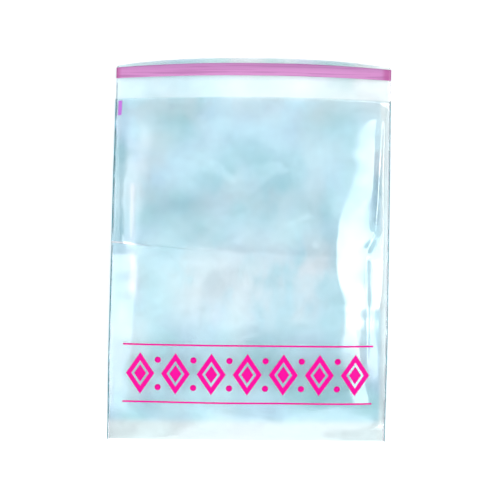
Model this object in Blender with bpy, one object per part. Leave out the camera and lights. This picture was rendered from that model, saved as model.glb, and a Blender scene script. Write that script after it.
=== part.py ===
"""Clear film garment bag with a self-adhesive flap, lying on its back on a flat surface.

One length of film is folded up at the bottom and welded along both sides into a pocket.
Its back panel runs on past the mouth as a single-layer flap, which carries an adhesive strip
under a tinted release liner.

Metres, +Z up. X runs across the bag, and +Y from the bottom fold to the flap. The origin lies
under the middle of the laid-out bag, on the surface that it rests on.
"""

import math

import bmesh
import bpy

# Cut sizes of the bag
BAG_WIDTH = 0.300
POCKET_LENGTH = 0.370
FLAP_LENGTH = 0.044
FILM_THICKNESS = 0.00005

# Side welds: a round bead that both layers run into
BEAD_RADIUS = 0.0005
BEAD_OVERRUN = 0.0004
LAYER_GAP_AT_BEAD = 0.0004

# Strips on the flap
LINER_WIDTH = 0.013
LINER_THICKNESS = 0.00005
ADHESIVE_WIDTH = 0.009
ADHESIVE_THICKNESS = 0.0001
FLAP_MARGIN = 0.0055
SEAT_CLEARANCE = 0.0003

# How far the pocket stands open: between the panels' middles at the bottom fold, over the pocket
# and at the mouth, and how squarely it falls to the welds
FOLD_DEPTH = 0.0016
POCKET_DEPTH = 0.022
MOUTH_DEPTH = 0.017
FOLD_TAPER_LENGTH = 0.131
MOUTH_TAPER_LENGTH = 0.073
END_SQUARENESS = 2.2
MIDDLE_SQUARENESS = 3.8
SQUARE_LENGTH = 0.110
MOUTH_DRAW = 0.001

# How far the film lifts off the surface past the flat middle of the back panel
RESTING_WIDTH = 0.150
SEAM_LIFT = 0.0065
SEAM_LIFT_AT_MOUTH = 0.0039
SEAM_RISE_LENGTH = 0.110
MOUTH_ARCH = 0.005
FLAP_ARCH = 0.0125
ARCH_LENGTH = 0.102
FLAP_CORNER_HEIGHT = 0.0052
FLAP_CORNER_PULL = 0.0045
MARGIN_CURL = math.radians(52)

# How far the limp bag has slid out of square: the flap's edge to +X of the bottom fold
LEAN = 0.005

# The set crease across the middle, from having been packed folded in half
CREASE_HEIGHT = 0.0025
CREASE_HALF_WIDTH = 0.012
CREASE_BOW = 0.008
CREASE_SIDE_FADE = 0.6

# Steps of the film's grid
COLUMNS = 24
POCKET_ROWS = 26
FOLD_ROWS = 4
FLAP_ROWS = 5
MARGIN_ROWS = 2
STRIP_ROWS = 3
BEAD_SIDES = 6
COLUMN_EVENNESS = 0.6

HALF_WIDTH = BAG_WIDTH / 2
Y_FOLD = -(POCKET_LENGTH + FLAP_LENGTH) / 2
Y_MOUTH = Y_FOLD + POCKET_LENGTH
Y_FLAP = Y_MOUTH + FLAP_LENGTH
Y_LINER_TOP = Y_FLAP - FLAP_MARGIN
Y_LINER_BOTTOM = Y_LINER_TOP - LINER_WIDTH
Y_CREASE = (Y_FOLD + Y_FLAP) / 2

# Soft folds of the front panel. Each runs between two points, given as shares of the half width
# and of the pocket's length from the fold, and rises or sinks by its height over its half width.
FOLD_FADE = 0.1
FOLDS = (
    {"start": (0.93, 0.92), "end": (0.63, 0.57), "height": 0.0022, "half_width": 0.011},
    {"start": (0.63, 0.53), "end": (0.84, 0.06), "height": 0.0020, "half_width": 0.012},
    {"start": (0.90, 0.86), "end": (0.86, 0.60), "height": -0.0020, "half_width": 0.009},
    {"start": (-0.84, 0.94), "end": (-0.82, 0.58), "height": 0.0016, "half_width": 0.010},
    {"start": (-0.82, 0.52), "end": (-0.86, 0.05), "height": 0.0016, "half_width": 0.010},
)


def clear_scene():
    for obj in list(bpy.data.objects):
        bpy.data.objects.remove(obj, do_unlink=True)


def smooth(share):
    """0 at 0 and below, 1 at 1 and above, with a level start and end."""
    share = min(max(share, 0.0), 1.0)
    return share * share * (3 - 2 * share)


def side_share(x):
    """How far out towards a side edge: 0 in the middle, 1 at the edge."""
    return min(abs(x) / HALF_WIDTH, 1.0)


def pocket_share(y):
    """How far up the pocket: 0 at the bottom fold, 1 at the mouth."""
    return (y - Y_FOLD) / POCKET_LENGTH


def flap_share(y):
    """How far up the flap: 0 at the mouth, 1 at the flap's edge."""
    return (y - Y_MOUTH) / FLAP_LENGTH


def seam_height(y):
    """Height of a side weld's middle, and past the mouth of the flap's side edge."""
    base = BEAD_RADIUS + FILM_THICKNESS
    if y <= Y_MOUTH:
        rise = SEAM_LIFT * smooth((y - Y_FOLD) / SEAM_RISE_LENGTH)
        fall = (SEAM_LIFT - SEAM_LIFT_AT_MOUTH) * smooth(1 - (Y_MOUTH - y) / SEAM_RISE_LENGTH)
        return base + rise - fall
    at_mouth = base + SEAM_LIFT_AT_MOUTH
    return at_mouth + (FLAP_CORNER_HEIGHT - at_mouth) * smooth(flap_share(y))


def arch_height(y):
    """How far the middle of the back panel and flap is bowed up towards the flap's edge."""
    if y <= Y_MOUTH:
        return MOUTH_ARCH * smooth(1 - (Y_MOUTH - y) / ARCH_LENGTH)
    return MOUTH_ARCH + (FLAP_ARCH - MOUTH_ARCH) * min(flap_share(y), 1.0)


def crease_height(x, y):
    """The ridge that the packing fold left across both layers, bowed down towards the middle."""
    line = Y_CREASE - CREASE_BOW * (1 - side_share(x) ** 2)
    away = (y - line) / CREASE_HALF_WIDTH
    return CREASE_HEIGHT * math.exp(-away * away) * (1 - CREASE_SIDE_FADE * side_share(x) ** 4)


def pocket_depth(x, y):
    """Gap between the panels' middle surfaces."""
    opened = 1 - (1 - min((y - Y_FOLD) / FOLD_TAPER_LENGTH, 1.0)) ** 2
    depth = FOLD_DEPTH + (POCKET_DEPTH - FOLD_DEPTH) * opened
    depth += (MOUTH_DEPTH - POCKET_DEPTH) * smooth(1 - (Y_MOUTH - y) / MOUTH_TAPER_LENGTH)
    from_middle = (y - (Y_FOLD + Y_MOUTH) / 2) / SQUARE_LENGTH
    squareness = MIDDLE_SQUARENESS - END_SQUARENESS
    squareness = END_SQUARENESS + squareness * math.exp(-from_middle * from_middle)
    return LAYER_GAP_AT_BEAD + (depth - LAYER_GAP_AT_BEAD) * (1 - side_share(x) ** squareness)


def fold_height(x, y):
    """The soft folds' sum at a point of the front panel, fading out towards its four edges."""
    total = 0.0
    for fold in FOLDS:
        ax, ay = fold["start"][0] * HALF_WIDTH, Y_FOLD + fold["start"][1] * POCKET_LENGTH
        bx, by = fold["end"][0] * HALF_WIDTH, Y_FOLD + fold["end"][1] * POCKET_LENGTH
        dx, dy = bx - ax, by - ay
        along = ((x - ax) * dx + (y - ay) * dy) / (dx * dx + dy * dy)
        held = min(max(along, 0.0), 1.0)
        away = math.hypot(x - ax - held * dx, y - ay - held * dy) / fold["half_width"]
        total += fold["height"] * math.exp(-away * away)
    up = pocket_share(y)
    return total * (1 - side_share(x) ** 8) * smooth(up / FOLD_FADE) * smooth((1 - up) / FOLD_FADE)


def back_height(x, y):
    """Height of the back panel's middle surface, and of the flap's past the mouth."""
    side = side_share(x)
    past_rest = max(abs(x) - RESTING_WIDTH / 2, 0.0) / (HALF_WIDTH - RESTING_WIDTH / 2)
    edge = seam_height(y) - FILM_THICKNESS / 2
    edge -= LAYER_GAP_AT_BEAD / 2 * (1 - smooth(3 * flap_share(y)))
    lift = edge * past_rest**2 + arch_height(y) * (1 - side * side)
    return FILM_THICKNESS / 2 + lift + crease_height(x, y)


def front_height(x, y):
    """Height of the front panel's middle surface."""
    return back_height(x, y) + pocket_depth(x, y) + fold_height(x, y)


def column_x(column, columns):
    """Place of a grid column, with the columns closer together towards the sides."""
    u = 2 * column / columns - 1
    return HALF_WIDTH * (COLUMN_EVENNESS * u + (1 - COLUMN_EVENNESS) * math.sin(math.pi * u / 2))


def front_point(x, y):
    """Point of the front panel's middle surface, drawn back a little along the middle of the mouth."""
    near_mouth = smooth(1 - (Y_MOUTH - y) / MOUTH_TAPER_LENGTH)
    return x, y - MOUTH_DRAW * near_mouth * (1 - side_share(x) ** 2), front_height(x, y)


def flap_point(x, y):
    """Point of the flap's middle surface. Its corners are drawn in, and its margin curls down there."""
    side = side_share(x)
    pull = FLAP_CORNER_PULL * side**3
    if y <= Y_LINER_TOP:
        drawn = pull * smooth((y - Y_MOUTH) / (Y_LINER_TOP - Y_MOUTH))
        return x, y - drawn, back_height(x, y)
    curl = MARGIN_CURL * side**3
    past = y - Y_LINER_TOP
    rise = past * math.cos(curl)
    sink = past * math.sin(curl)
    return x, Y_LINER_TOP - pull + rise, back_height(x, Y_LINER_TOP) - sink


def film_stations():
    """The rows of the film's grid, from the front panel's mouth edge round the fold to the flap's."""
    pocket_step = POCKET_LENGTH / POCKET_ROWS
    flap_step = (Y_LINER_TOP - Y_MOUTH) / FLAP_ROWS
    margin_step = FLAP_MARGIN / MARGIN_ROWS
    down = [("front", Y_MOUTH - pocket_step * row) for row in range(POCKET_ROWS)]
    turn = [("fold", math.pi * row / FOLD_ROWS) for row in range(FOLD_ROWS + 1)]
    up = [("back", Y_FOLD + pocket_step * (row + 1)) for row in range(POCKET_ROWS)]
    flap = [("flap", Y_MOUTH + flap_step * (row + 1)) for row in range(FLAP_ROWS)]
    margin = [("flap", Y_LINER_TOP + margin_step * (row + 1)) for row in range(MARGIN_ROWS)]
    return down + turn + up + flap + margin


def leaned(point):
    """The point after the bag has slid out of square."""
    x, y, z = point
    return x + LEAN * y / (POCKET_LENGTH + FLAP_LENGTH), y, z


def film_point(x, station):
    """Point of the film's middle surface at a row of its grid."""
    kind, value = station
    if kind == "front":
        return front_point(x, value)
    if kind == "back":
        return x, value, back_height(x, value)
    if kind == "flap":
        return flap_point(x, value)
    radius = (front_height(x, Y_FOLD) - back_height(x, Y_FOLD)) / 2
    middle = back_height(x, Y_FOLD) + radius
    return x, Y_FOLD + FOLD_DEPTH / 2 - radius * math.sin(value), middle + radius * math.cos(value)


def add_object(name, bm, material=None):
    """Makes an object of a bmesh, shaded smooth up to its sharp edges."""
    mesh = bpy.data.meshes.new(name)
    bm.to_mesh(mesh)
    bm.free()
    mesh.shade_smooth()
    mesh.set_sharp_from_angle(angle=math.radians(40))
    obj = bpy.data.objects.new(name, mesh)
    bpy.context.scene.collection.objects.link(obj)
    if material:
        mesh.materials.append(material)
    return obj


def material(name, colour, roughness, alpha=1.0):
    made = bpy.data.materials.new(name)
    made.use_nodes = True
    shader = made.node_tree.nodes["Principled BSDF"]
    shader.inputs["Base Color"].default_value = (*colour, 1.0)
    shader.inputs["Roughness"].default_value = roughness
    shader.inputs["Metallic"].default_value = 0.0
    shader.inputs["Alpha"].default_value = alpha
    return made


def solidify(obj, thickness):
    """Gives a sheet its thickness, half to each side."""
    shell = obj.modifiers.new("thickness", "SOLIDIFY")
    shell.thickness = thickness
    shell.offset = 0.0


def make_weld_bead(side):
    """The bead along one side, from the bottom fold to the mouth, which the film is joined to."""
    bm = bmesh.new()
    rings = []
    for row in range(POCKET_ROWS + 1):
        y = Y_FOLD + POCKET_LENGTH * row / POCKET_ROWS
        z = seam_height(y)
        if row == 0:
            y -= BEAD_OVERRUN
        if row == POCKET_ROWS:
            y += BEAD_OVERRUN
        ring = []
        for corner in range(BEAD_SIDES):
            turn = 2 * math.pi * (corner + 0.5) / BEAD_SIDES
            out = side * HALF_WIDTH + BEAD_RADIUS * math.cos(turn)
            ring.append(bm.verts.new(leaned((out, y, z + BEAD_RADIUS * math.sin(turn)))))
        edges = [bm.edges.new((ring[n], ring[(n + 1) % BEAD_SIDES])) for n in range(BEAD_SIDES)]
        if rings:
            bmesh.ops.bridge_loops(bm, edges=rings[-1] + edges)
        else:
            bm.faces.new(ring)
        rings.append(edges)
    bm.faces.new(ring)
    bmesh.ops.recalc_face_normals(bm, faces=bm.faces)
    bead = add_object("weld_bead_guide_" + ("left" if side < 0 else "right"), bm)
    bead.hide_render = True
    bead.display_type = "WIRE"
    return bead


def make_bag_film(finish):
    """The folded film with its flap, joined to the weld beads along both sides."""
    stations = film_stations()
    bm = bmesh.new()
    bmesh.ops.create_grid(bm, x_segments=COLUMNS, y_segments=len(stations) - 1, size=1.0)
    for vert in bm.verts:
        column = round((vert.co.x + 1) / 2 * COLUMNS)
        row = round((vert.co.y + 1) / 2 * (len(stations) - 1))
        vert.co = leaned(film_point(column_x(column, COLUMNS), stations[row]))
    bmesh.ops.recalc_face_normals(bm, faces=bm.faces)
    film = add_object("bag_film", bm, finish)
    solidify(film, FILM_THICKNESS)
    for side in (-1, 1):
        weld = film.modifiers.new("weld", "BOOLEAN")
        weld.operation = "UNION"
        weld.solver = "EXACT"
        weld.object = make_weld_bead(side)
    return film


def make_flap_strip(name, finish, low, high, above, thickness):
    """A strip along the flap from low to high, its middle surface a little above the flap's."""
    bm = bmesh.new()
    bmesh.ops.create_grid(bm, x_segments=COLUMNS, y_segments=STRIP_ROWS, size=1.0)
    for vert in bm.verts:
        column = round((vert.co.x + 1) / 2 * COLUMNS)
        x, y, z = flap_point(column_x(column, COLUMNS), low + (high - low) * (vert.co.y + 1) / 2)
        vert.co = leaned((x, y, z + above))
    strip = add_object(name, bm, finish)
    solidify(strip, thickness)
    return strip


def main():
    clear_scene()
    clear_film = material("clear_film", (0.62, 0.84, 0.90), 0.08, 0.35)
    tacky = material("adhesive", (0.85, 0.90, 0.90), 0.35, 0.6)
    pink_film = material("liner_film", (0.72, 0.34, 0.64), 0.25)

    make_bag_film(clear_film)
    adhesive_above = FILM_THICKNESS / 2 + SEAT_CLEARANCE + ADHESIVE_THICKNESS / 2
    liner_above = adhesive_above + ADHESIVE_THICKNESS / 2 + SEAT_CLEARANCE + LINER_THICKNESS / 2
    middle = (Y_LINER_TOP + Y_LINER_BOTTOM) / 2
    make_flap_strip(
        "adhesive_strip",
        tacky,
        middle - ADHESIVE_WIDTH / 2,
        middle + ADHESIVE_WIDTH / 2,
        adhesive_above,
        ADHESIVE_THICKNESS,
    )
    make_flap_strip(
        "release_liner",
        pink_film,
        Y_LINER_BOTTOM,
        Y_LINER_TOP,
        liner_above,
        LINER_THICKNESS,
    )


main()
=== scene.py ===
"""Looks of the clear film garment bag: its film, welds, tape, liner and print, and its studio.

Metres, +Z up. X runs across the bag, +Y from the bottom fold to the flap. The bag lies on z = 0.
"""

from __future__ import annotations

import logging
import math
import random
from dataclasses import dataclass
from enum import Enum
from typing import Any, Callable

import bmesh
import bpy
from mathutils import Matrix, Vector, noise
from mathutils.bvhtree import BVHTree

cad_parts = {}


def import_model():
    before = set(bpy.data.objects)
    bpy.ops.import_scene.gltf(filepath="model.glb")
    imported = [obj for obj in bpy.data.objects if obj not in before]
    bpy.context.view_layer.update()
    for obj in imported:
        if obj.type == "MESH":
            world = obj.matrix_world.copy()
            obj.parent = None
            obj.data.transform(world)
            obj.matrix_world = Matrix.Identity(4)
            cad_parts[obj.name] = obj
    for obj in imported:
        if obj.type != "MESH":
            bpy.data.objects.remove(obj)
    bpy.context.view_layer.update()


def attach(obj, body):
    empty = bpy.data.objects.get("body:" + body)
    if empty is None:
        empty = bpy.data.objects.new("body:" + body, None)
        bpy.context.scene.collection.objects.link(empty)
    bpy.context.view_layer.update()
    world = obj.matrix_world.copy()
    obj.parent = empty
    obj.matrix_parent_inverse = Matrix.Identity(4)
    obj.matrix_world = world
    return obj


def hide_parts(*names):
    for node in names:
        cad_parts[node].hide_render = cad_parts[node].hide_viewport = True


LOG = logging.getLogger("garment_bag")
PHOTO_PIXELS = 500

Point = tuple[float, float, float]
Colour = tuple[float, float, float]


class Side(Enum):
    """A side edge of the bag."""

    LEFT = -1
    RIGHT = 1


class Slot(Enum):
    """A material slot of the record."""

    FILM = "clear_film"
    ADHESIVE = "adhesive"
    LINER = "liner_film"


def smooth(share: float) -> float:
    """Eases from 0 to 1, level at both ends, for a share that is clamped to them."""
    share = min(max(share, 0.0), 1.0)
    return share * share * (3 - 2 * share)


def screen_colour(red: int, green: int, blue: int) -> Colour:
    """Linear colour of an 8-bit screen colour, whose levels go from 0 to 255."""

    def linear(level: int) -> float:
        share = level / 255
        return share / 12.92 if share <= 0.04045 else ((share + 0.055) / 1.055) ** 2.4

    return linear(red), linear(green), linear(blue)


class Value:
    """A number on its way through a material, which Python's operators turn into Math nodes."""

    def __init__(self, paint: Paint, socket: bpy.types.NodeSocket) -> None:
        """Wraps the output socket that carries the number."""
        self.paint = paint
        self.socket = socket

    def _math(self, operation: str, *values: Value | float) -> Value:
        """One Math node on up to three values."""
        node = self.paint.node("ShaderNodeMath", {"operation": operation}, dict(enumerate(values)))
        return Value(self.paint, node.outputs[0])

    def __add__(self, other: Value | float) -> Value:
        """Sum."""
        return self._math("ADD", self, other)

    __radd__ = __add__

    def __sub__(self, other: Value | float) -> Value:
        """Difference."""
        return self._math("SUBTRACT", self, other)

    def __rsub__(self, other: float) -> Value:
        """Difference from a number."""
        return self._math("SUBTRACT", other, self)

    def __mul__(self, other: Value | float) -> Value:
        """Product."""
        return self._math("MULTIPLY", self, other)

    __rmul__ = __mul__

    def __truediv__(self, other: Value | float) -> Value:
        """Quotient."""
        return self._math("DIVIDE", self, other)

    def __abs__(self) -> Value:
        """Size without its sign."""
        return self._math("ABSOLUTE", self)

    def above(self, least: float) -> Value:
        """The number, or the least one if that is more."""
        return self._math("MAXIMUM", self, least)

    def below(self, edge: float, soft: float) -> Value:
        """Mask that is 1 under an edge and 0 over it, and fades over a soft width."""
        node = self.paint.node(
            "ShaderNodeMapRange",
            {"interpolation_type": "SMOOTHSTEP"},
            {"Value": self, 1: edge - soft / 2, 2: edge + soft / 2, 3: 1.0, 4: 0.0},
        )
        return Value(self.paint, node.outputs[0])


class Paint:
    """A procedural material, or the world's light, under construction."""

    def __init__(self, name: str, world: bool = False) -> None:
        """Starts an empty node tree.

        Args:
            name: The material's name.
            world: True for the world, whose coordinates are directions.
        """
        self.data = (bpy.data.worlds if world else bpy.data.materials).new(name)
        self.data.use_nodes = True
        self.tree = self.data.node_tree
        self.tree.nodes.clear()
        self.place = self.node("ShaderNodeTexCoord").outputs["Generated" if world else "Object"]
        axes = self.node("ShaderNodeSeparateXYZ", inputs={0: self.place})
        self.x, self.y, self.z = (Value(self, axis) for axis in axes.outputs)

    def node(
        self,
        kind: str,
        settings: dict[str, Any] | None = None,
        inputs: dict[int | str, Any] | None = None,
    ) -> bpy.types.Node:
        """Adds a node.

        Args:
            kind: The node's type.
            settings: Properties, which are set first.
            inputs: What goes into its sockets: values, or sockets to link.

        Returns:
            The node.
        """
        made = self.tree.nodes.new(kind)
        for key, setting in (settings or {}).items():
            setattr(made, key, setting)
        for key, given in (inputs or {}).items():
            if isinstance(given, Value):
                given = given.socket
            if isinstance(given, bpy.types.NodeSocket):
                self.tree.links.new(given, made.inputs[key])
            else:
                made.inputs[key].default_value = given
        return made

    def noise(self, scale: float, stretch: Point = (1, 1, 1), detail: float = 2.0) -> Value:
        """Noise from 0 to 1 on the piece's own coordinates.

        Args:
            scale: Cells per metre.
            stretch: How much closer the cells lie along each axis.
            detail: Finer octaves.

        Returns:
            The noise.
        """
        spread = self.node("ShaderNodeMapping", inputs={"Vector": self.place, "Scale": stretch})
        made = self.node(
            "ShaderNodeTexNoise",
            inputs={"Vector": spread.outputs[0], "Scale": scale, "Detail": detail},
        )
        return Value(self, made.outputs[0])

    def blend(self, first: Any, second: Any, share: Value | float) -> bpy.types.NodeSocket:
        """Mixes two colours.

        Args:
            first: Colour, or a socket that carries one.
            second: The same.
            share: How much of the second.

        Returns:
            The mixed colour's socket.
        """
        ends = [c if isinstance(c, bpy.types.NodeSocket) else (*c, 1.0) for c in (first, second)]
        made = self.node("ShaderNodeMix", {"data_type": "RGBA"}, {0: share, 6: ends[0], 7: ends[1]})
        return made.outputs[2]

    def bump(self, height: Value, distance: float) -> bpy.types.NodeSocket:
        """Relief too fine for the mesh.

        Args:
            height: Height from 0 to 1.
            distance: Metres that 1 stands for.

        Returns:
            The normal's socket.
        """
        made = self.node(
            "ShaderNodeBump", inputs={"Height": height, "Distance": distance, "Strength": 1.0}
        )
        return made.outputs[0]

    def surface(self, **inputs: Any) -> bpy.types.Node:
        """Adds a Principled shader, its inputs named with underscores for spaces."""
        named = {key.replace("_", " "): given for key, given in inputs.items()}
        return self.node("ShaderNodeBsdfPrincipled", inputs=named)

    def mix(
        self, first: bpy.types.Node, second: bpy.types.Node, share: Value | float
    ) -> bpy.types.Node:
        """Mixes two shaders.

        Args:
            first: The one that a share of 0 gives.
            second: The one that a share of 1 gives.
            share: How much of the second.

        Returns:
            The mixed shader's node.
        """
        inputs = {0: share, 1: first.outputs[0], 2: second.outputs[0]}
        return self.node("ShaderNodeMixShader", inputs=inputs)

    def finish(self, shader: bpy.types.Node) -> bpy.types.Material:
        """Links a shader to the output and returns the material."""
        self.node("ShaderNodeOutputMaterial", inputs={"Surface": shader.outputs[0]})
        return self.data

    def see_through(
        self,
        tint: Colour,
        shader: bpy.types.Node,
        share: Value | float,
        paler: Colour | None = None,
        pale_share: Value | float = 0.0,
    ) -> bpy.types.Material:
        """Mixes clear tinted film with a surface shader and finishes the material.

        Args:
            tint: What one face of the film lets through.
            shader: What the rest of the light meets.
            share: How much light meets it.
            paler: A second, paler tint.
            pale_share: How far the paler tint takes the first one's place.

        Returns:
            The material.
        """
        clear = self.node("ShaderNodeBsdfTransparent", inputs={"Color": (*tint, 1.0)})
        if paler is not None:
            second = self.node("ShaderNodeBsdfTransparent", inputs={"Color": (*paler, 1.0)})
            clear = self.mix(clear, second, pale_share)
        return self.finish(self.mix(clear, shader, share))


@dataclass(frozen=True)
class Shoulder:
    """The line along which the front panel breaks down towards a side weld, in two flat facets.

    The table says where the line lies, in shares of the pocket's length and of the half width.
    """

    table: tuple[tuple[float, float], ...]
    facet_slope: float
    first_up: float = 0.0
    rise: float = 0.12
    edge_slope: float = 1.1
    most_drop: float = 0.85
    rounding: float = 0.0012

    def line(self, up: float) -> float:
        """Where the line lies at a share of the pocket's length."""
        for (low, first), (high, second) in zip(self.table, self.table[1:]):
            if up <= high:
                return first + (second - first) * smooth((up - low) / (high - low))
        return self.table[-1][1]

    def lower(self, first: float, second: float) -> float:
        """The lower of two heights, with a rounded change between them."""
        return (first + second - math.hypot(first - second, self.rounding)) / 2

    def depth(self, opening: float, up: float, out: float, half: float) -> float:
        """Gap between the panels.

        Args:
            opening: The gap in the bag's middle.
            up: Share of the pocket's length.
            out: Share of the half width.
            half: The half width.

        Returns:
            The gap in metres, which may be under zero at the weld.
        """
        start = self.line(up)
        slope = min(self.facet_slope, self.most_drop * opening / ((1 - start) * half))
        facet = opening - slope * (out - start) * half
        return self.lower(self.lower(opening, facet), self.edge_slope * (1 - out) * half)


LEFT_SHOULDER = Shoulder(
    ((0.0, 0.80), (0.60, 0.83), (0.95, 0.86)), facet_slope=0.36, first_up=0.52, rise=0.10
)
RIGHT_SHOULDER = Shoulder(
    ((0.0, 0.80), (0.30, 0.70), (0.56, 0.60), (0.62, 0.62), (0.95, 0.88)), facet_slope=0.33
)


@dataclass(frozen=True)
class BagForm:
    """The bag's sizes and the surface that its film lies on, as the solids have them."""

    width: float = 0.300
    pocket_length: float = 0.370
    flap_length: float = 0.044
    bead_radius: float = 0.0005
    film: float = 0.00005
    bead_gap: float = 0.0004
    liner_width: float = 0.013
    liner_thickness: float = 0.00005
    adhesive_width: float = 0.009
    adhesive_thickness: float = 0.0001
    margin: float = 0.0055
    seat: float = 0.0003
    fold_depth: float = 0.0016
    pocket_depth: float = 0.022
    mouth_depth: float = 0.017
    fold_taper: float = 0.131
    mouth_taper: float = 0.073
    end_squareness: float = 2.2
    middle_squareness: float = 3.8
    square_length: float = 0.110
    mouth_draw: float = 0.001
    resting_width: float = 0.150
    seam_lift: float = 0.0065
    seam_lift_at_mouth: float = 0.0039
    seam_rise: float = 0.110
    mouth_arch: float = 0.005
    flap_arch: float = 0.0125
    arch_length: float = 0.102
    corner_height: float = 0.0052
    corner_pull: float = 0.0045
    margin_curl: float = math.radians(52)
    crease_height: float = 0.0025
    crease_level: float = 0.28
    crease_more_at_left: float = 0.17
    crease_half_width: float = 0.012
    crease_bow: float = 0.004
    crease_tilt: float = 0.013
    lean: float = 0.005
    most_proud: float = 0.0045

    @property
    def half(self) -> float:
        """Half the width."""
        return self.width / 2

    @property
    def y_fold(self) -> float:
        """Place of the bottom fold."""
        return -(self.pocket_length + self.flap_length) / 2

    @property
    def y_mouth(self) -> float:
        """Place of the mouth edge."""
        return self.y_fold + self.pocket_length

    @property
    def y_flap(self) -> float:
        """Place of the flap's free edge."""
        return self.y_mouth + self.flap_length

    @property
    def y_liner(self) -> float:
        """Place of the liner's upper edge."""
        return self.y_flap - self.margin

    def leaned(self, point: Point) -> Point:
        """The point after the limp bag has slid out of square."""
        x, y, z = point
        return x + self.lean * y / (self.pocket_length + self.flap_length), y, z

    def side(self, x: float) -> float:
        """How far out towards a side edge, from 0 in the middle to 1."""
        return min(abs(x) / self.half, 1.0)

    def up(self, y: float) -> float:
        """How far up the pocket, from 0 at the fold to 1 at the mouth."""
        return (y - self.y_fold) / self.pocket_length

    def seam_height(self, y: float) -> float:
        """Height of a side weld's middle, and past the mouth of the flap's side edge."""
        base = self.bead_radius + self.film
        if y <= self.y_mouth:
            rise = self.seam_lift * smooth((y - self.y_fold) / self.seam_rise)
            drop = self.seam_lift - self.seam_lift_at_mouth
            return base + rise - drop * smooth(1 - (self.y_mouth - y) / self.seam_rise)
        start = base + self.seam_lift_at_mouth
        return start + (self.corner_height - start) * smooth((y - self.y_mouth) / self.flap_length)

    def crease_line(self, x: float) -> float:
        """Where the packing crease crosses the bag."""
        middle = (self.y_fold + self.y_flap) / 2
        bow = self.crease_bow * (1 - self.side(x) ** 2)
        return middle - bow - self.crease_tilt * x / self.width

    def crease(self, x: float, y: float) -> float:
        """Height of the packing crease's broad ridge, highest at left and faded out at right."""
        away = (y - self.crease_line(x)) / self.crease_half_width
        at_left = smooth((-x - 0.075) / 0.05)
        faded = 1 - 0.98 * smooth((x + 0.05) / 0.08)
        level = (self.crease_level + self.crease_more_at_left * at_left) * faded
        return self.crease_height * math.exp(-away * away) * level

    def arch(self, y: float) -> float:
        """How far the back panel and the flap are bowed up in the middle."""
        if y <= self.y_mouth:
            return self.mouth_arch * smooth(1 - (self.y_mouth - y) / self.arch_length)
        past = min((y - self.y_mouth) / self.flap_length, 1.0)
        return self.mouth_arch + (self.flap_arch - self.mouth_arch) * past

    def opening(self, y: float) -> float:
        """Gap between the panels along the bag's middle."""
        opened = 1 - (1 - min((y - self.y_fold) / self.fold_taper, 1.0)) ** 2
        depth = self.fold_depth + (self.pocket_depth - self.fold_depth) * opened
        near_mouth = smooth(1 - (self.y_mouth - y) / self.mouth_taper)
        return depth + (self.mouth_depth - self.pocket_depth) * near_mouth

    def depth(self, x: float, y: float) -> float:
        """Gap between the panels: the solids' round one, towards the facets by most_proud."""
        from_middle = (y - (self.y_fold + self.y_mouth) / 2) / self.square_length
        squareness = self.middle_squareness - self.end_squareness
        squareness = self.end_squareness + squareness * math.exp(-from_middle * from_middle)
        up, out, opening = self.up(y), self.side(x), self.opening(y)
        curved = self.bead_gap + (opening - self.bead_gap) * (1 - out**squareness)
        shoulder = LEFT_SHOULDER if x < 0 else RIGHT_SHOULDER
        faceted = max(shoulder.depth(opening, up, out, self.half), self.bead_gap)
        along = smooth((up - shoulder.first_up) / shoulder.rise) * smooth((1 - up) / 0.10)
        share = along * smooth(out / 0.25) * smooth((1 - out) / 0.03)
        return curved + self.most_proud * math.tanh(share * (faceted - curved) / self.most_proud)

    def back(self, x: float, y: float) -> float:
        """Height of the back panel, and of the flap past the mouth."""
        reach = self.half - self.resting_width / 2
        past_rest = max(abs(x) - self.resting_width / 2, 0.0) / reach
        past_mouth = (y - self.y_mouth) / self.flap_length
        edge = self.seam_height(y) - self.film / 2
        edge -= self.bead_gap / 2 * (1 - smooth(3 * past_mouth))
        lift = edge * past_rest**2 + self.arch(y) * (1 - self.side(x) ** 2)
        return self.film / 2 + lift + self.crease(x, y)


@dataclass(frozen=True)
class SoftFold:
    """A soft fold in the front panel.

    Its ends are shares of the half width and of the pocket's length. A sharp fold rises like a
    ridge of two flat faces, and a soft one like a swell.
    """

    start: tuple[float, float]
    end: tuple[float, float]
    height: float
    half_width: float
    sharp: bool = False

    def at(self, form: BagForm, x: float, y: float) -> float:
        """The fold's height at a point."""
        ax, ay = self.start[0] * form.half, form.y_fold + self.start[1] * form.pocket_length
        bx, by = self.end[0] * form.half, form.y_fold + self.end[1] * form.pocket_length
        dx, dy = bx - ax, by - ay
        along = ((x - ax) * dx + (y - ay) * dy) / (dx * dx + dy * dy)
        held = min(max(along, 0.0), 1.0)
        away = math.hypot(x - ax - held * dx, y - ay - held * dy) / self.half_width
        if self.sharp:
            ridge = math.sqrt(1.02 + away * away) - away - 0.1
            return self.height * ridge * math.exp(-0.5 * away * away)
        return self.height * math.exp(-away * away)


MAIN_FOLDS = (
    SoftFold((0.939, 0.975), (0.905, 0.62), -0.0046, 0.0055, sharp=True),
    SoftFold((0.84, 0.56), (0.875, 0.585), -0.0012, 0.004, sharp=True),
    SoftFold((0.835, 0.53), (0.85, 0.24), -0.0009, 0.0040, sharp=True),
    SoftFold((0.62, 0.57), (0.90, 0.06), 0.0003, 0.008, sharp=True),
    SoftFold((0.44, 0.66), (0.46, 0.58), 0.0009, 0.004, sharp=True),
    SoftFold((-0.93, 0.75), (-0.91, 0.60), 0.0015, 0.006, sharp=True),
    SoftFold((-0.80, 0.52), (-0.86, 0.10), 0.0005, 0.010, sharp=True),
)


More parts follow.
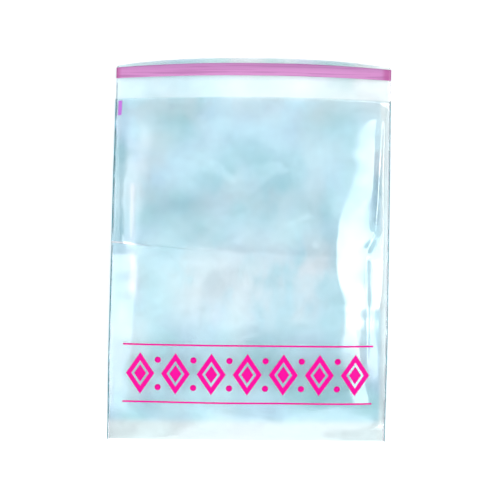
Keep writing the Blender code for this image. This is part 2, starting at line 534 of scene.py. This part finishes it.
@dataclass(frozen=True)
class Relief:
    """The fine wrinkles that the film has over its main form."""

    seed: int = 11
    creases: int = 34
    crease_height: float = 0.0008
    crease_half_width: float = 0.010
    pucker_height: float = 0.0005
    pucker_reach: float = 0.016
    pucker_length: float = 0.017
    swell_height: float = 0.0012
    swell_length: float = 0.070
    line_height: float = 0.0007
    line_half_width: float = 0.0022

    def random_folds(self) -> tuple[SoftFold, ...]:
        """Small sharp folds, scattered over the front panel."""
        draw = random.Random(self.seed)
        folds = []
        for _ in range(self.creases):
            x, y = draw.uniform(-0.85, 0.85), draw.uniform(0.08, 0.95)
            turn, reach = draw.uniform(0, math.pi), draw.uniform(0.10, 0.34)
            end = (x + reach * 1.2 * math.cos(turn), y + reach * math.sin(turn))
            height = self.crease_height * draw.choice((-1, 1)) * draw.uniform(0.5, 1.0)
            half_width = self.crease_half_width * draw.uniform(0.45, 1.6)
            folds.append(SoftFold((x, y), end, height, half_width, sharp=True))
        return tuple(folds)

    def puckers(self, form: BagForm, x: float, y: float, layer: float) -> float:
        """Short wrinkles that run in from the side welds."""
        inwards = form.half - abs(x)
        share = inwards / self.pucker_reach
        rise = share * math.exp(1 - share)
        slant = y + math.copysign(0.35, x) * inwards * noise.noise(Vector((y / 0.06, x * 9, layer)))
        ripple = noise.noise(Vector((slant / self.pucker_length, math.copysign(3.1, x), layer)))
        return self.pucker_height * rise * ripple

    def swell(self, x: float, y: float, layer: float) -> float:
        """Broad unevenness of the panel."""
        place = Vector((x, y, layer)) / self.swell_length
        return self.swell_height * (noise.noise(place) + 0.3 * noise.noise(place * 2.3))

    def line(self, form: BagForm, x: float, y: float) -> float:
        """The packing crease's sharp line."""
        wander = 0.0012 * noise.noise(Vector((x / 0.03, 5.0, 0)))
        away = abs(y - form.crease_line(x) - wander) / self.line_half_width
        fade = 0.22 + 0.78 * smooth((-x - 0.06) / 0.06)
        return self.line_height * fade * (math.sqrt(1.0 + away * away) - away)


def new_object(name: str, bm: bmesh.types.BMesh, material: bpy.types.Material) -> bpy.types.Object:
    """Makes a scene object of a bmesh, shaded smooth.

    Args:
        name: The piece's name.
        bm: The shape, which is freed.
        material: Its finish.

    Returns:
        The object, at the origin.
    """
    mesh = bpy.data.meshes.new(name)
    bm.to_mesh(mesh)
    bm.free()
    mesh.shade_smooth()
    mesh.materials.append(material)
    made = bpy.data.objects.new(name, mesh)
    bpy.context.scene.collection.objects.link(made)
    return made


def dress(piece: bpy.types.Object, slot: Slot, *nodes: str) -> bpy.types.Object:
    """Rides a piece on the bag and hides the CAD nodes that it stands for.

    Args:
        piece: The piece.
        slot: Its slot in the record; not used.
        nodes: CAD nodes that it replaces.

    Returns:
        The piece.
    """
    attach(piece, "root")
    if nodes:
        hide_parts(*nodes)
    LOG.info("%s: %d faces", piece.name, len(piece.data.polygons))
    return piece


def thicken(bm: bmesh.types.BMesh, thickness: float) -> None:
    """Gives an open sheet its wall, half to each side."""
    bmesh.ops.recalc_face_normals(bm, faces=bm.faces)
    shift = {vert: vert.normal * thickness / 2 for vert in bm.verts}
    bmesh.ops.solidify(bm, geom=bm.faces[:], thickness=thickness)
    bmesh.ops.recalc_face_normals(bm, faces=bm.faces)
    for vert in bm.verts:
        if vert in shift:
            vert.co += shift[vert]


@dataclass(frozen=True)
class Patch:
    """A soft-edged field: a painted highlight or a painted shade on the film, or a window of light
    around the bag.

    Its middle and half size are metres on the bag, or on the plane one metre above it. Its sides
    lean by the slant, which is metres to the right for each metre up.
    """

    middle: tuple[float, float]
    half: tuple[float, float]
    soft: float
    strength: float
    slant: float = 0.0

    def mask(self, u: Value, v: Value) -> Value:
        """How strong the patch is at a place.

        Args:
            u: The place across.
            v: The place up.

        Returns:
            The strength inside the patch, and 0 outside.
        """
        upright = u - v * self.slant if self.slant else u
        across = abs(upright - self.middle[0]).below(self.half[0], self.soft)
        return self.strength * across * abs(v - self.middle[1]).below(self.half[1], self.soft)


# Painted highlights: patches where the film's colour is lifted towards lilac and white and its haze
# raised, standing in for reflections of the light.
PAINTED_HIGHLIGHTS = (
    Patch((-0.004, -0.036), (0.085, 0.044), 0.07, 1.0),
    Patch((0.075, -0.005), (0.012, 0.022), 0.03, 0.7),
    Patch((0.018, 0.056), (0.006, 0.018), 0.025, 0.6),
    Patch((0.1370, -0.038), (0.0035, 0.026), 0.010, 2.0),
    Patch((0.118, -0.085), (0.006, 0.050), 0.020, 1.0),
    Patch((-0.1255, -0.030), (0.0025, 0.026), 0.008, 1.4),
    Patch((-0.1270, 0.038), (0.0015, 0.030), 0.006, 1.8),
    Patch((0.000, 0.155), (0.170, 0.014), 0.03, 0.5),
    Patch((-0.115, 0.090), (0.022, 0.050), 0.05, 0.7),
    Patch((-0.125, -0.080), (0.012, 0.080), 0.03, 0.7),
)
# Painted shade: patches where the film's colour is darkened towards steel blue and its haze raised,
# standing in for shade.
SHADES = (
    Patch((-0.066, 0.050), (0.030, 0.008), 0.030, 1.0),
    Patch((0.028, -0.096), (0.050, 0.004), 0.022, 0.7),
    Patch((0.1370, 0.068), (0.0035, 0.040), 0.008, 2.4),
    Patch((-0.020, 0.054), (0.010, 0.016), 0.025, 0.8),
    Patch((-0.1385, 0.035), (0.004, 0.028), 0.012, 0.8),
    Patch((-0.1485, -0.157), (0.0015, 0.012), 0.006, 2.4),
    Patch((-0.1110, -0.150), (0.004, 0.020), 0.014, 0.7),
    Patch((0.075, 0.052), (0.010, 0.030), 0.030, 0.5),
)


@dataclass(frozen=True)
class FilmFinish:
    """Clear glossy film: a little haze, a cool tint, stress whitening and a painted highlight along
    the packing crease, and painted highlights and painted shade elsewhere.
    """

    tint: Colour = (0.917, 0.971, 0.985)
    highlight_tint: Colour = (0.962, 0.984, 0.982)
    cyan: Colour = screen_colour(96, 206, 222)
    blue: Colour = screen_colour(186, 200, 250)
    green: Colour = screen_colour(140, 246, 226)
    highlight_lilac: Colour = screen_colour(238, 236, 255)
    white: Colour = screen_colour(255, 250, 255)
    teal: Colour = screen_colour(64, 140, 156)
    shade_steel: Colour = screen_colour(84, 152, 182)
    haze_share: float = 0.085
    least_haze: float = 0.03
    crease_share: float = 0.45
    weld_share: float = 0.42
    margin_share: float = 0.16
    weld_reach: float = 0.0017
    foot_y: float = -0.186
    right_x: float = 0.141
    ripple: float = 0.00008
    roughness: float = 0.30
    ior: float = 2.2
    coat_roughness: float = 0.07
    coat_ior: float = 4.0

    def whitened_and_highlit(self, paint: Paint, form: BagForm) -> Value:
        """How white the packing crease is painted: stress whitening of the fold with a painted
        highlight along its ridge, clear at left and faint to the middle.
        """
        across = paint.x / form.half
        line = form.crease_bow * (1 - across * across) + form.crease_tilt * 0.5 * across + paint.y
        crease = abs(line + 0.002 * (paint.noise(35) - 0.5)).below(0.0009, 0.0016)
        faint = 0.12 * paint.noise(45, (1, 0.2, 1)).below(0.55, 0.3) * paint.x.below(-0.03, 0.06)
        return crease * (faint + paint.x.below(-0.118, 0.03))

    def welded(self, paint: Paint, form: BagForm) -> Value:
        """Where the film is fused beside the side welds."""
        slid = form.lean / (form.pocket_length + form.flap_length)
        fused = 1 - abs(paint.x - slid * paint.y).below(form.half - self.weld_reach, 0.0008)
        return fused * paint.noise(50, (0.1, 1, 0.1)).below(0.58, 0.2)

    def build(self, form: BagForm) -> bpy.types.Material:
        """Makes the material, with the bag's form for the places of crease, welds and liner."""
        paint = Paint("clear_film")
        colour = paint.blend(self.cyan, self.blue, paint.noise(13, (1, 1.2, 1)).below(0.50, 0.18))
        greenish = paint.noise(11, (1.2, 1, 2)).below(0.44, 0.16)
        colour = paint.blend(colour, self.green, greenish * 0.7)
        broken = paint.noise(26, (1.2, 0.7, 1), 5.0).below(0.57, 0.15)
        # Painted highlights: the highlight patches blend the colour towards lilac.
        painted_highlight = broken * sum(patch.mask(paint.x, paint.y) for patch in PAINTED_HIGHLIGHTS)
        colour = paint.blend(colour, self.highlight_lilac, painted_highlight * 0.85)
        broken = paint.noise(30, detail=3.0).below(0.60, 0.24)
        # Painted shade: the shade patches blend the colour towards steel blue.
        shade = broken * sum(patch.mask(paint.x, paint.y) for patch in SHADES)
        colour = paint.blend(colour, self.shade_steel, shade * 0.5)
        whitish = paint.noise(17, (1.2, 0.8, 3)).below(0.44, 0.18)
        colour = paint.blend(colour, self.white, whitish * 0.8)
        # The crease's white is stress whitening of the fold and a painted highlight along its
        # ridge.
        whitened_and_highlit, welded = self.whitened_and_highlit(paint, form), self.welded(paint, form)
        colour = paint.blend(paint.blend(colour, self.white, whitened_and_highlit), self.teal, welded)
        # Painted highlights: white along the right edge and along the foot.
        highlit_right_edge = 1 - paint.x.below(self.right_x, 0.004)
        edges = paint.y.below(self.foot_y, 0.010) * 0.9 + highlit_right_edge * 0.8
        colour = paint.blend(colour, self.white, edges)
        # A paler tint goes where highlights are painted: the edges, the highlight patches and the
        # flap's right half.
        on_flap = 1 - paint.y.below(form.y_mouth, 0.003)
        pale = edges + painted_highlight * 0.6 + on_flap * (1 - paint.x.below(-0.02, 0.14)) * 0.9
        cloud = paint.noise(15, (1, 1.1, 1), detail=3.0) - 0.5
        # Haze, raised further where the highlight and shade patches are painted.
        haze_and_painted_light = self.haze_share + 0.40 * cloud + 0.06 * painted_highlight + 0.06 * shade
        margin = 1 - paint.y.below(form.y_liner, 0.002)
        share = haze_and_painted_light.above(self.least_haze) + self.crease_share * whitened_and_highlit
        share = share + self.weld_share * welded + self.margin_share * margin
        shader = paint.surface(
            Base_Color=colour,
            Roughness=self.roughness,
            IOR=self.ior,
            Coat_Weight=1.0,
            Coat_Roughness=self.coat_roughness,
            Coat_IOR=self.coat_ior,
            Normal=paint.bump(paint.noise(90, (1, 0.25, 1), 1.0), self.ripple),
        )
        return paint.see_through(self.tint, shader, share, self.highlight_tint, pale)


@dataclass(frozen=True)
class WeldFinish:
    """Film melted to a bead: denser and darker than the panels."""

    colour: Colour = screen_colour(96, 176, 190)
    tint: Colour = (0.66, 0.90, 0.93)
    share: float = 0.45

    def build(self) -> bpy.types.Material:
        """Makes the material."""
        paint = Paint("weld_bead")
        lumps = paint.noise(220, (0.3, 1, 0.3))
        colour = paint.blend(self.colour, screen_colour(72, 120, 132), lumps.below(0.45, 0.2))
        shader = paint.surface(
            Base_Color=colour,
            Roughness=0.15,
            IOR=1.5,
            Coat_Weight=1.0,
            Normal=paint.bump(lumps, 0.0003),
        )
        return paint.see_through(self.tint, shader, self.share + 0.3 * lumps)


@dataclass(frozen=True)
class LinerFinish:
    """Tinted release film, with streaks along it and fused, darker ends."""

    colour: Colour = screen_colour(204, 136, 192)
    low: Colour = screen_colour(222, 148, 206)
    end: Colour = screen_colour(196, 96, 162)
    end_reach: float = 0.006

    def build(self, form: BagForm) -> bpy.types.Material:
        """Makes the material, with the bag's form for the liner's place."""
        paint = Paint("liner_film")
        streaks = paint.noise(30, (0.35, 14, 1), 4.0)
        up = (paint.y - (form.y_liner - form.liner_width)) / form.liner_width
        colour = paint.blend(self.low, self.colour, 1 - up.below(0.55, 0.5))
        colour = paint.blend(colour, screen_colour(186, 112, 172), streaks.below(0.45, 0.12) * 0.6)
        out = 1 - abs(paint.x).below(form.half - self.end_reach, 0.006)
        colour = paint.blend(colour, self.end, out * 0.85)
        shader = paint.surface(
            Base_Color=colour,
            Roughness=0.32,
            IOR=1.45,
            Coat_Weight=0.25,
            Normal=paint.bump(streaks, 0.0004),
        )
        return paint.see_through((0.95, 0.75, 0.92), shader, 0.86 + 0.1 * streaks)


@dataclass(frozen=True)
class AdhesiveFinish:
    """Clear, slightly milky tape."""

    colour: Colour = screen_colour(226, 236, 236)

    def build(self) -> bpy.types.Material:
        """Makes the material."""
        paint = Paint("adhesive")
        specks = paint.noise(900, detail=3.0)
        colour = paint.blend(self.colour, screen_colour(204, 222, 226), specks.below(0.5, 0.3))
        relief = paint.bump(specks, 0.0002)
        shader = paint.surface(Base_Color=colour, Roughness=0.30, IOR=1.47, Normal=relief)
        return paint.see_through((0.98, 0.99, 0.99), shader, 0.35 + 0.2 * specks)


@dataclass(frozen=True)
class InkFinish:
    """Flexographic ink: strong colour with a few thin spots."""

    name: str
    colour: Colour
    thin: Colour
    share: float = 0.99

    def build(self) -> bpy.types.Material:
        """Makes the material."""
        paint = Paint(self.name)
        spots = paint.noise(260, detail=3.0)
        colour = paint.blend(self.colour, self.thin, spots.below(0.36, 0.16) * 0.5)
        relief = paint.bump(spots, 0.0001)
        shader = paint.surface(Base_Color=colour, Roughness=0.45, IOR=1.2, Normal=relief)
        return paint.see_through((1.0, 0.2, 0.7), shader, self.share - 0.02 * spots)


@dataclass
class FilmShell:
    """The folded film: front panel, bottom fold, back panel and flap in one sheet."""

    form: BagForm
    relief: Relief
    columns: int = 130
    pocket_rows: int = 150
    fold_rows: int = 8
    flap_rows: int = 14
    margin_rows: int = 4

    def __post_init__(self) -> None:
        """Draws the small folds once."""
        self.small_folds = self.relief.random_folds()

    def column_x(self, column: int) -> float:
        """Place of a grid column, with the columns closer together towards the sides."""
        u = 2 * column / self.columns - 1
        return self.form.half * (0.7 * u + 0.3 * math.sin(math.pi * u / 2))

    def wrinkles(self, x: float, y: float) -> float:
        """Everything that the front panel has over its smooth form, faded out at its edges."""
        form = self.form
        up = form.up(y)
        main = sum(fold.at(form, x, y) for fold in MAIN_FOLDS)
        small = sum(fold.at(form, x, y) for fold in self.small_folds)
        calm_shoulders = 1 - 0.8 * smooth((form.side(x) - 0.45) / 0.2)
        total = main + small * calm_shoulders + self.relief.swell(x, y, 0.0)
        inside = (1 - form.side(x) ** 8) * smooth(up / 0.1)
        near_mouth = 0.25 + 0.75 * smooth((1 - up) / 0.1)
        total = total * inside * near_mouth
        total += self.relief.puckers(form, x, y, 0.0) * smooth(up / 0.06)
        return total + self.relief.line(form, x, y) * (1 - form.side(x) ** 12)

    def back_relief(self, x: float, y: float) -> float:
        """What the back panel has over its smooth form, calm where it lies on the floor."""
        form = self.form
        puckers = self.relief.puckers(form, x, y, 7.0) * smooth(form.up(y) / 0.06)
        line = self.relief.line(form, x, y) * 0.6
        return 0.6 * puckers * smooth((form.side(x) - 0.5) / 0.3) + line * (1 - form.side(x) ** 12)

    def front_point(self, x: float, y: float) -> Point:
        """Point of the front panel."""
        form = self.form
        near_mouth = smooth(1 - (form.y_mouth - y) / form.mouth_taper)
        drawn = y - form.mouth_draw * near_mouth * (1 - form.side(x) ** 2)
        height = form.back(x, y) + form.depth(x, y) + self.wrinkles(x, y)
        return x, drawn, height

    def back_point(self, x: float, y: float) -> Point:
        """Point of the back panel."""
        return x, y, self.form.back(x, y) + self.back_relief(x, y)

    def flap_point(self, x: float, y: float) -> Point:
        """Point of the flap, whose corners are drawn in and whose margin curls down there."""
        form = self.form
        side = form.side(x)
        pull = form.corner_pull * side**3
        if y <= form.y_liner:
            share = (y - form.y_mouth) / (form.y_liner - form.y_mouth)
            return x, y - pull * smooth(share), form.back(x, y)
        curl = form.margin_curl * side**3
        past = y - form.y_liner
        height = form.back(x, form.y_liner) - past * math.sin(curl)
        return x, form.y_liner - pull + past * math.cos(curl), height

    def fold_point(self, x: float, turn: float) -> Point:
        """Point of the bottom fold, turned from the front panel to the back one."""
        form = self.form
        radius = (self.front_point(x, form.y_fold)[2] - self.back_point(x, form.y_fold)[2]) / 2
        middle = self.back_point(x, form.y_fold)[2] + radius
        y = form.y_fold + form.fold_depth / 2 - radius * math.sin(turn)
        return x, y, middle + radius * math.cos(turn)

    def stations(self) -> list[tuple[Callable[[float, float], Point], float]]:
        """The grid's rows, from the front panel's mouth edge round the bottom fold to the flap."""
        form = self.form
        pocket = form.pocket_length / self.pocket_rows
        flap = (form.y_liner - form.y_mouth) / self.flap_rows
        margin = form.margin / self.margin_rows
        rows = [(self.front_point, form.y_mouth - pocket * n) for n in range(self.pocket_rows)]
        rows += [(self.fold_point, math.pi * n / self.fold_rows) for n in range(self.fold_rows + 1)]
        for point, first, step, count in (
            (self.back_point, form.y_fold, pocket, self.pocket_rows),
            (self.flap_point, form.y_mouth, flap, self.flap_rows),
            (self.flap_point, form.y_liner, margin, self.margin_rows),
        ):
            rows += [(point, first + step * (n + 1)) for n in range(count)]
        return rows

    def build(self, finish: bpy.types.Material) -> bpy.types.Object:
        """Makes the film in a finish. It stands for the CAD's film."""
        rows = self.stations()
        bm = bmesh.new()
        bmesh.ops.create_grid(bm, x_segments=self.columns, y_segments=len(rows) - 1, size=1.0)
        for vert in bm.verts:
            column = round((vert.co.x + 1) / 2 * self.columns)
            point, value = rows[round((vert.co.y + 1) / 2 * (len(rows) - 1))]
            vert.co = self.form.leaned(point(self.column_x(column), value))
        thicken(bm, self.form.film)
        return dress(new_object("film_shell", bm, finish), Slot.FILM, "bag_film")


@dataclass
class WeldBead:
    """The melted bead along one side."""

    form: BagForm
    side: Side
    rows: int = 180
    corners: int = 10

    def build(self, finish: bpy.types.Material) -> bpy.types.Object:
        """Makes the bead in a finish."""
        form = self.form
        bm = bmesh.new()
        made = bmesh.ops.create_circle(
            bm, cap_ends=True, segments=self.corners, radius=form.bead_radius
        )
        step = form.pocket_length / self.rows
        for vert in made["verts"]:
            out = self.side.value * form.half + vert.co.x
            vert.co = form.leaned((out, form.y_fold, form.seam_height(form.y_fold) + vert.co.y))
        face = bm.faces[:]
        for row in range(1, self.rows + 1):
            grown = bmesh.ops.extrude_face_region(bm, geom=face)["geom"]
            if row > 1:
                bmesh.ops.delete(bm, geom=face, context="FACES_ONLY")
            face = [item for item in grown if isinstance(item, bmesh.types.BMFace)]
            low = form.seam_height(form.y_fold + step * (row - 1))
            lift = form.seam_height(form.y_fold + step * row) - low
            moved = [item for item in grown if isinstance(item, bmesh.types.BMVert)]
            bmesh.ops.translate(bm, verts=moved, vec=form.leaned((0, step, lift)))
        bmesh.ops.recalc_face_normals(bm, faces=bm.faces)
        name = f"weld_bead_{self.side.name.lower()}"
        return dress(new_object(name, bm, finish), Slot.FILM)


@dataclass
class FlapStrip:
    """A strip that lies along the flap."""

    film: FilmShell
    name: str
    low: float
    high: float
    above: float
    thickness: float
    columns: int = 120
    rows: int = 10
    ripple: float = 0.0

    def build(self, finish: bpy.types.Material, slot: Slot, node: str) -> bpy.types.Object:
        """Makes the strip.

        Args:
            finish: Its material.
            slot: Its slot in the record.
            node: The CAD node that it stands for.

        Returns:
            The piece.
        """
        bm = bmesh.new()
        bmesh.ops.create_grid(bm, x_segments=self.columns, y_segments=self.rows, size=1.0)
        for vert in bm.verts:
            along = vert.co.x * self.film.form.half
            share = (vert.co.y + 1) / 2
            x, y, z = self.film.flap_point(along, self.low + (self.high - self.low) * share)
            wave = self.ripple * abs(noise.noise(Vector((x / 0.02, y / 0.03, 2.0))))
            vert.co = self.film.form.leaned((x, y, z + self.above + wave))
        thicken(bm, self.thickness)
        return dress(new_object(self.name, bm, finish), slot, node)


@dataclass
class Print:
    """A generic frieze of lozenges and dots between two rules, printed across the lower front."""

    form: BagForm
    film: bpy.types.Object
    middle_y: float = -0.134
    length: float = 0.268
    lozenges: int = 7
    lozenge_width: float = 0.031
    lozenge_height: float = 0.045
    ring: float = 0.0060
    core: float = 0.42
    dot: float = 0.0034
    dot_corners: int = 28
    dot_away: float = 0.01485
    cuts: int = 7
    rule_cells: int = 100
    rule: float = 0.0018
    rule_away: float = 0.031
    mark_x: tuple[float, float] = (-0.1470, -0.1427)
    mark_length: float = 0.0165
    mark_below_mouth: float = 0.0022
    mark_cuts: int = 9
    ink_height: float = 0.00006
    ink: float = 0.00003

    def __post_init__(self) -> None:
        """Reads the film's surface once."""
        self.surface = BVHTree.FromObject(self.film, bpy.context.evaluated_depsgraph_get())

    def lay(
        self, name: str, bm: bmesh.types.BMesh, finish: bpy.types.Material
    ) -> bpy.types.Object:
        """Drops a flat shape onto the front panel and makes a piece of it.

        Args:
            name: The piece's name.
            bm: The shape, in the plane z = 0.
            finish: Its ink.

        Returns:
            The piece.
        """
        bmesh.ops.recalc_face_normals(bm, faces=bm.faces)
        for vert in bm.verts:
            over = Vector(self.form.leaned((vert.co.x, vert.co.y, 0.1)))
            vert.co = self.surface.ray_cast(over, Vector((0, 0, -1)))[0]
            vert.co.z += self.ink_height
        thicken(bm, self.ink)
        return dress(new_object(name, bm, finish), Slot.FILM)

    def add_quad(
        self, bm: bmesh.types.BMesh, corners: list[tuple[float, float]], cuts: int
    ) -> None:
        """Adds a four-sided field, fine enough to follow the film."""
        face = bm.faces.new([bm.verts.new((x, y, 0)) for x, y in corners])
        bmesh.ops.subdivide_edges(bm, edges=face.edges[:], cuts=cuts, use_grid_fill=True)

    def add_lozenge(self, bm: bmesh.types.BMesh, x: float) -> None:
        """Adds a lozenge with an open ring round a solid middle."""
        a, b = self.lozenge_width / 2, self.lozenge_height / 2
        inner = 1 - 2 * self.ring / self.lozenge_width
        points = [(a, 0), (0, b), (-a, 0), (0, -b)]
        for n in range(4):
            (ax, ay), (bx, by) = points[n], points[(n + 1) % 4]
            quad = [(ax, ay), (bx, by), (bx * inner, by * inner), (ax * inner, ay * inner)]
            self.add_quad(bm, [(x + px, self.middle_y + py) for px, py in quad], self.cuts)
        core = [(x + px * self.core, self.middle_y + py * self.core) for px, py in points]
        self.add_quad(bm, core, self.cuts)

    def add_dot(self, bm: bmesh.types.BMesh, x: float, y: float) -> None:
        """Adds a round dot."""
        made = bmesh.ops.create_circle(
            bm, cap_ends=True, cap_tris=True, segments=self.dot_corners, radius=self.dot
        )
        bmesh.ops.translate(bm, verts=made["verts"], vec=(x, y, 0))

    def build(self, finish: bpy.types.Material) -> bpy.types.Object:
        """Makes the frieze in an ink."""
        bm = bmesh.new()
        pitch = self.length / self.lozenges
        first = -self.length / 2 + pitch / 2
        for n in range(self.lozenges):
            self.add_lozenge(bm, first + pitch * n)
            if n:
                self.add_dot(bm, first + pitch * (n - 0.5), self.middle_y + self.dot_away)
                self.add_dot(bm, first + pitch * (n - 0.5), self.middle_y - self.dot_away)
        for away in (-self.rule_away, self.rule_away):
            low = self.middle_y + away - self.rule / 2
            high = self.middle_y + away + self.rule / 2
            for n in range(self.rule_cells):
                left = -self.length / 2 + self.length * n / self.rule_cells
                right = left + self.length / self.rule_cells
                corners = ((left, low), (right, low), (right, high), (left, high))
                bm.faces.new([bm.verts.new((x, y, 0)) for x, y in corners])
        bmesh.ops.remove_doubles(bm, verts=bm.verts, dist=1e-6)
        return self.lay("print_frieze", bm, finish)

    def build_mark(self, finish: bpy.types.Material) -> bpy.types.Object:
        """Makes the small register mark beside the mouth, in an ink."""
        left, right = self.mark_x
        top = self.form.y_mouth - self.mark_below_mouth
        low = top - self.mark_length
        bm = bmesh.new()
        corners = [(left, low), (right, low), (right, top), (left, top)]
        self.add_quad(bm, corners, self.mark_cuts)
        return self.lay("register_mark", bm, finish)


WINDOWS = (
    Patch((0.64, 0.20), (0.23, 0.28), 0.12, 6.0, 0.5),
    Patch((0.56, 0.20), (0.20, 0.25), 0.36, 0.4, 0.5),
    Patch((0.52, -0.32), (0.13, 0.28), 0.10, 5.5),
    Patch((6.0, 0.8), (3.4, 1.6), 1.0, 1.1),
    Patch((-0.62, 0.14), (0.110, 0.24), 0.18, 1.7),
    Patch((-0.66, 0.22), (0.18, 0.24), 0.34, 0.7),
    Patch((-1.14, -0.34), (0.42, 0.44), 0.42, 3.9, -0.42),
    Patch((-6.0, 0.8), (3.4, 1.6), 1.0, 0.7),
    Patch((0.03, -0.06), (0.30, 0.06), 0.14, 1.3),
    Patch((0.0, -1.22), (0.80, 0.38), 0.16, 2.5),
)


@dataclass(frozen=True)
class Studio:
    """The floor, the light around the bag and the camera."""

    distance: float = 0.75
    bag_pixels: float = 277.5
    bag_width: float = BagForm.width
    tilt: float = math.radians(1.6)
    roll: float = math.radians(0.55)
    sensor: float = 36.0
    target: Point = (0.0, -0.001, 0.008)
    room: float = 0.20
    clouds: float = 2.0
    floor_glow: float = 0.34

    def floor(self) -> None:
        """Makes the white floor, which keeps the bag's shadow."""
        paint = Paint("white_floor")
        grain = paint.noise(900)
        white = paint.blend((0.86, 0.86, 0.86), (0.84, 0.84, 0.84), grain)
        diffuse = paint.surface(Base_Color=white, Roughness=0.9, Specular_IOR_Level=0.0)
        rays = paint.node("ShaderNodeLightPath")
        seen = Value(paint, rays.outputs["Is Camera Ray"])
        seen = seen + Value(paint, rays.outputs["Is Glossy Ray"])
        seen = seen + Value(paint, rays.outputs["Is Transmission Ray"])
        light = {"Color": (1, 1, 1, 1), "Strength": seen * self.floor_glow}
        glow = paint.node("ShaderNodeEmission", inputs=light)
        both = paint.node("ShaderNodeAddShader", inputs={0: diffuse.outputs[0], 1: glow.outputs[0]})
        bm = bmesh.new()
        bmesh.ops.create_grid(bm, x_segments=1, y_segments=1, size=3.0)
        bmesh.ops.translate(bm, verts=bm.verts, vec=(0, 0, -0.0002))
        floor = new_object("floor", bm, paint.finish(both))

    def surroundings(self) -> None:
        """Sets the light around the bag: a pale room with soft windows, white to the camera."""
        paint = Paint("studio", world=True)
        up = paint.z.above(0.02)
        u, v = paint.x / up, paint.y / up
        low_clouds = (paint.noise(5.0, detail=3.0) - 0.5).above(0.0) * paint.z.below(0.75, 0.3)
        clouds = (paint.noise(4.0, detail=2.5) - 0.46).above(0.0) * self.clouds
        light = clouds + self.room + low_clouds
        overhead = 1 - paint.z.below(0.05, 0.02)
        for window in WINDOWS:
            light = light + window.mask(u, v) * overhead
        cool = (0.94, 0.97, 1.0, 1)
        room = paint.node("ShaderNodeBackground", inputs={"Color": cool, "Strength": light})
        white = paint.node("ShaderNodeBackground", inputs={"Color": (1, 1, 1, 1), "Strength": 1.0})
        seen = Value(paint, paint.node("ShaderNodeLightPath").outputs["Is Camera Ray"])
        mixed = paint.mix(room, white, seen)
        paint.node("ShaderNodeOutputWorld", inputs={"Surface": mixed.outputs[0]})
        bpy.context.scene.world = paint.data

    def camera(self) -> None:
        """Sets the camera over the bag, with the photograph's framing."""
        data = bpy.data.cameras.new("camera")
        seen_width = PHOTO_PIXELS * self.bag_width / self.bag_pixels
        data.sensor_width = self.sensor
        data.lens = self.sensor * self.distance / seen_width
        data.clip_start = 0.01
        camera = bpy.data.objects.new("camera", data)
        away = Vector((0, -math.sin(self.tilt), math.cos(self.tilt))) * self.distance
        camera.location = Vector(self.target) + away
        turn = (-away).to_track_quat("-Z", "Y").to_matrix().to_4x4()
        camera.rotation_euler = turn.to_euler()
        camera.rotation_euler.rotate_axis("Z", self.roll)
        bpy.context.scene.collection.objects.link(camera)
        bpy.context.scene.camera = camera

    def build(self) -> None:
        """Makes the whole stage."""
        self.floor()
        self.surroundings()
        self.camera()
        bpy.context.scene.view_settings.view_transform = "Standard"


def main() -> None:
    """Builds the bag's pieces and the scene around them, in order."""
    logging.basicConfig(level=logging.INFO, format="%(name)s: %(message)s")
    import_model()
    form = BagForm()
    film = FilmShell(form, Relief())
    shell = film.build(FilmFinish().build(form))
    weld = WeldFinish().build()
    beads = [WeldBead(form, side).build(weld) for side in Side]
    tape_above = form.film / 2 + form.seat + form.adhesive_thickness / 2
    tape_top = tape_above + form.adhesive_thickness / 2
    middle = form.y_liner - form.liner_width / 2
    tape = FlapStrip(
        film,
        "tape",
        middle - form.adhesive_width / 2,
        middle + form.adhesive_width / 2,
        tape_above,
        form.adhesive_thickness,
    )
    strips = [tape.build(AdhesiveFinish().build(), Slot.ADHESIVE, "adhesive_strip")]
    liner = FlapStrip(
        film,
        "liner",
        form.y_liner - form.liner_width,
        form.y_liner,
        tape_top + form.seat + form.liner_thickness / 2,
        form.liner_thickness,
        ripple=0.0004,
    )
    strips.append(liner.build(LinerFinish().build(form), Slot.LINER, "release_liner"))
    ink = InkFinish("magenta_ink", screen_colour(252, 0, 156), screen_colour(240, 20, 150))
    pale = screen_colour(214, 132, 236)
    pale_ink = InkFinish("pale_ink", pale, screen_colour(232, 160, 232), 0.9)
    frieze = Print(form, shell)
    frieze.build(ink.build())
    frieze.build_mark(pale_ink.build())
    beads + strips
    Studio().build()
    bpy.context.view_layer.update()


if __name__ == "__main__":
    main()
